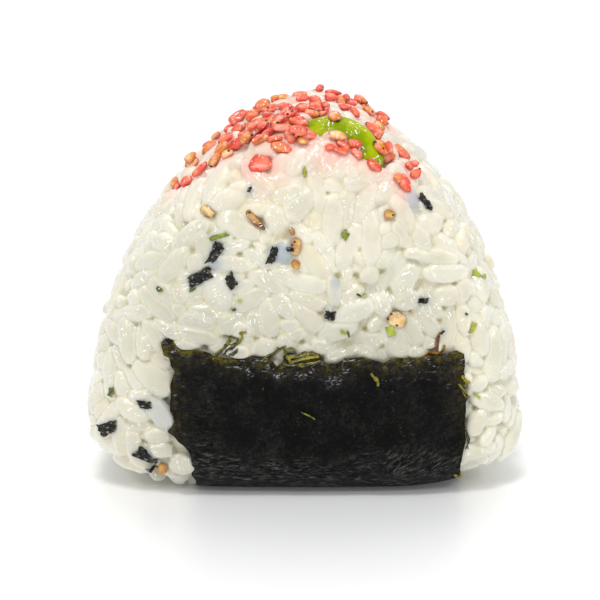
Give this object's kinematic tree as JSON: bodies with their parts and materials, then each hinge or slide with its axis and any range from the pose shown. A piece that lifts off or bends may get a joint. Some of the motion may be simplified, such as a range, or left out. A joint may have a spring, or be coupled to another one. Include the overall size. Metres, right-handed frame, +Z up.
{
  "type": "onigiri rice ball",
  "caption": "Rounded triangle of pressed rice standing on its long side, with a nori strip folded under it, a green soybean in the tip, and pink and toasted sesame.",
  "frame": {"origin": "on the table under the middle of the onigiri, in the plane of the nori's flat underside", "axes": "+X along the width, to the right as seen from the front; +Y through the thickness, away from the front; +Z up"},
  "size_m": [0.0712, 0.0382, 0.0629],
  "materials": {
    "rice": "moist, translucent cream-white cooked rice",
    "nori": "green-black dried seaweed with a satin sheen and fine wrinkles",
    "soybean": "wet, glossy yellow-green"
  },
  "bodies": {
    "root": {"rice": "rice", "nori": "nori", "soybean": "soybean"}
  },
  "joints": []
}
